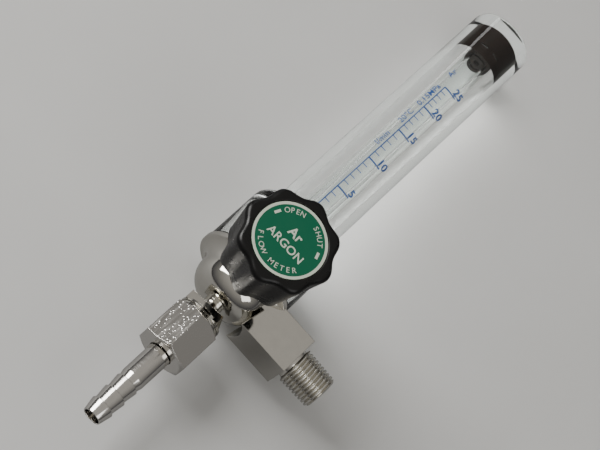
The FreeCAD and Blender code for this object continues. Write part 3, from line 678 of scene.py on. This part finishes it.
def thread_radius(height, angle):
    """Radius of a right-hand taper thread at a height, with its end chamfered."""
    phase = (height / PITCH - angle / (2 * math.pi)) % 1
    flank = abs(2 * phase - 1)
    form = min(1, max(0, 1.8 * flank - 0.72))
    crest = CREST - height * TAPER
    limit = CHAMFER_RADIUS + (THREAD_END - height)
    return max(SLEEVE_INSIDE, min(crest - THREAD_DEPTH * form, limit))


def thread_sleeve(turns=120, steps=14):
    """The threaded surface: rows of points that climb one pitch a turn, with so many rows to a pitch."""
    rows = int(THREAD_END / PITCH * steps) + 2 * steps
    sleeve = bmesh.new()
    rings = []
    for row in range(rows):
        ring = []
        for turn in range(turns):
            angle = 2 * math.pi * turn / turns
            height = (row / steps - 1 + turn / turns) * PITCH
            height = min(THREAD_END, max(0, height))
            radius = thread_radius(height, angle)
            ring.append(sleeve.verts.new((radius * math.cos(angle), radius * math.sin(angle), height)))
        rings.append(ring)
    for low, high in zip(rings, rings[1:]):
        for turn in range(turns - 1):
            sleeve.faces.new([low[turn], low[turn + 1], high[turn + 1], high[turn]])
    for row in range(rows - 1 - steps):
        low, high = rings[row + steps], rings[row + steps + 1]
        sleeve.faces.new([rings[row][-1], low[0], high[0], rings[row + 1][-1]])
    bmesh.ops.remove_doubles(sleeve, verts=sleeve.verts, dist=0.002)
    bmesh.ops.dissolve_degenerate(sleeve, edges=sleeve.edges, dist=0.002)
    bmesh.ops.recalc_face_normals(sleeve, faces=sleeve.faces)
    return sleeve


def add_inlet_nipple():
    """The inlet's outside thread, cut over its whole length, and the plain core under it."""
    core = [
        (INLET_THROAT, SPIGOT_END),
        (SPIGOT_RADIUS, SPIGOT_END, 0.3),
        (SPIGOT_RADIUS, -1.5),
        (RELIEF, -1.5, 0.1),
        (RELIEF, 0.2),
        (CORE_RADIUS, 0.6),
        (CORE_RADIUS, THREAD_END - 0.4),
        (5.5, THREAD_END, 0.1),
        (INLET_BORE, THREAD_END, 0.3),
        (INLET_BORE, THREAD_END - 6),
        (INLET_THROAT, THREAD_END - 7),
    ]
    mesh = gathered([(thread_sleeve(), Matrix()), (swept(rounded(core), turns=96), Matrix())])
    chrome = MATERIALS["thread_chrome"]
    add_piece("threaded_inlet", mesh, ON_INLET, chrome, "meter", ["inlet_nipple"], sharp=50)


# ---------------------------------------------------------------- camera
AIM = Vector((centre("outer_tube").x, 0, 35.3 * MM))
CAMERA_AZIMUTH = math.radians(-1.5)
CAMERA_ELEVATION = math.radians(27.66)
CAMERA_ROLL = math.radians(42.57)
CAMERA_DISTANCE = 614.3 * MM
CAMERA_LENS, SENSOR_WIDTH = 112.2, 36


def add_camera():
    """The camera stands in front of the knob, below it, and is rolled so that the tube leans right."""
    away = Vector((
        math.sin(CAMERA_AZIMUTH) * math.cos(CAMERA_ELEVATION),
        -math.cos(CAMERA_AZIMUTH) * math.cos(CAMERA_ELEVATION),
        -math.sin(CAMERA_ELEVATION),
    ))
    right = (-away).cross(Vector((0, 0, 1))).normalized()
    up = right.cross(-away)
    across = math.sin(CAMERA_ROLL) * right + math.cos(CAMERA_ROLL) * up
    above = math.sin(CAMERA_ROLL) * up - math.cos(CAMERA_ROLL) * right
    camera = bpy.data.objects.new("camera", bpy.data.cameras.new("camera"))
    bpy.context.scene.collection.objects.link(camera)
    camera.data.lens = CAMERA_LENS
    camera.data.sensor_width = SENSOR_WIDTH
    camera.data.clip_start, camera.data.clip_end = 0.01, 20
    turn = Matrix((across, above, away)).transposed().to_4x4()
    camera.matrix_world = Matrix.Translation(AIM + away * CAMERA_DISTANCE) @ turn
    bpy.context.scene.camera = camera


# ---------------------------------------------------------------- floor and light
# The meter lies on its back: the floor touches the foot of the cover and the back of its top.
FOOT_TOUCH = Vector((0, 17.55, 30.3))
TOP_TOUCH = Vector((0, 12.05, 143.0))
FLOOR_REACH = 4.0


def floor_place():
    """A frame where the cover's foot touches the floor: Z is the floor's normal, Y runs up the tube."""
    along = (TOP_TOUCH - FOOT_TOUCH).normalized()
    normal = Vector((1, 0, 0)).cross(along)
    across = along.cross(normal)
    turn = Matrix((across, along, normal)).transposed().to_4x4()
    start = FOOT_TOUCH * MM + Vector((centre("outer_tube").x, 0, 0))
    return Matrix.Translation(start) @ turn


FLOOR = floor_place()


def shade_for_mirrors(shader, shade):
    """Paints shade into the floor for mirror rays only: what mirrors the floor sees a darker one than the
    camera does, a painted shade in the reflections, so that plated faces stand out from it.
    """
    path = shader.nodes.new("ShaderNodeLightPath")
    mirrored = shader.nodes.new("ShaderNodeMath")
    mirrored.operation = "SUBTRACT"
    mirrored.use_clamp = True
    shader.links.new(path.outputs["Is Glossy Ray"], mirrored.inputs[0])
    shader.links.new(path.outputs["Is Transmission Ray"], mirrored.inputs[1])
    mix = shader.nodes.new("ShaderNodeMix")
    mix.data_type = "RGBA"
    mix.inputs["B"].default_value = (*shade, 1)
    shader.links.new(mirrored.outputs["Value"], mix.inputs["Factor"])
    shader.links.new(shader.main.inputs["Base Color"].links[0].from_socket, mix.inputs["A"])
    shader.links.new(mix.outputs["Result"], shader.main.inputs["Base Color"])


def add_floor():
    """A pale matt floor that is only there from its upper side, so that the back of the meter can be seen."""
    shader = Shader("floor_paint", (0.60, 0.60, 0.59), 0.75)
    mottle = shader.noise(0.02, detail=4)
    shader.colours(mottle, (0.56, 0.56, 0.55), (0.62, 0.62, 0.61))
    # Painted shade: mirror rays see the floor at 0.24 grey instead of its own pale colour.
    shade_for_mirrors(shader, (0.24, 0.24, 0.24))
    shader.relief((shader.noise(0.6, detail=4), 0.02))
    clear_back = shader.nodes.new("ShaderNodeBsdfTransparent")
    sides = shader.nodes.new("ShaderNodeMixShader")
    geometry = shader.nodes.new("ShaderNodeNewGeometry")
    output = shader.nodes["Material Output"]
    shader.links.new(geometry.outputs["Backfacing"], sides.inputs["Fac"])
    shader.links.new(shader.main.outputs["BSDF"], sides.inputs[1])
    shader.links.new(clear_back.outputs["BSDF"], sides.inputs[2])
    shader.links.new(sides.outputs["Shader"], output.inputs["Surface"])
    mesh = bmesh.new()
    bmesh.ops.create_grid(mesh, x_segments=1, y_segments=1, size=FLOOR_REACH)
    mesh.transform(FLOOR)
    data = bpy.data.meshes.new("floor")
    mesh.to_mesh(data)
    mesh.free()
    data.materials.append(shader.material)
    floor = bpy.data.objects.new("floor", data)
    bpy.context.scene.collection.objects.link(floor)


def add_light(name, spot, size, power, colour=(1, 1, 1), aim=(0, 0.03, 0)):
    """A soft rectangular lamp above the floor. spot and aim are metres in the floor's frame."""
    lamp = bpy.data.objects.new(name, bpy.data.lights.new(name, "AREA"))
    lamp.data.shape = "RECTANGLE"
    lamp.data.size, lamp.data.size_y = size
    lamp.data.energy = power
    lamp.data.color = colour
    place = Vector(spot)
    turn = (Vector(aim) - place).to_track_quat("-Z", "Y").to_matrix().to_4x4()
    lamp.matrix_world = FLOOR @ Matrix.Translation(place) @ turn
    bpy.context.scene.collection.objects.link(lamp)


def add_world():
    """A pale room: plain where the camera sees it, and darker low down for what mirrors it."""
    world = bpy.data.worlds.new("studio")
    bpy.context.scene.world = world
    world.use_nodes = True
    nodes, links = world.node_tree.nodes, world.node_tree.links
    background = nodes["Background"]
    direction = nodes.new("ShaderNodeTexCoord").outputs["Generated"]
    height = nodes.new("ShaderNodeVectorMath")
    height.operation = "DOT_PRODUCT"
    height.inputs[1].default_value = FLOOR.to_3x3().col[2]
    links.new(direction, height.inputs[0])
    ramp = nodes.new("ShaderNodeValToRGB")
    ramp.color_ramp.elements[0].position = 0.0
    ramp.color_ramp.elements[0].color = (0.05, 0.05, 0.055, 1)
    ramp.color_ramp.elements[1].position = 0.9
    ramp.color_ramp.elements[1].color = (0.40, 0.385, 0.36, 1)
    links.new(height.outputs["Value"], ramp.inputs["Fac"])
    pale = nodes.new("ShaderNodeMix")
    pale.data_type = "RGBA"
    links.new(nodes.new("ShaderNodeLightPath").outputs["Is Camera Ray"], pale.inputs["Factor"])
    links.new(ramp.outputs["Color"], pale.inputs["A"])
    pale.inputs["B"].default_value = (0.74, 0.74, 0.73, 1)
    links.new(pale.outputs["Result"], background.inputs["Color"])
    background.inputs["Strength"].default_value = 1.0


# ---------------------------------------------------------------- the scene
add_camera()
dress_nodes()
add_cover()
add_metering_tube()
add_flow_scale()
add_knob()
add_label_print()
add_hose_tail()
add_inlet_nipple()
let_light_through()
add_floor()
add_light("key", (-0.72, -0.02, 0.66), (0.45, 0.55), 9, (1, 0.99, 0.97))
add_light("fill", (0.6, -0.3, 0.6), (0.5, 0.5), 1.5)
add_light("rim", (-0.55, 0.62, 0.42), (0.045, 0.4), 0.22)
add_world()
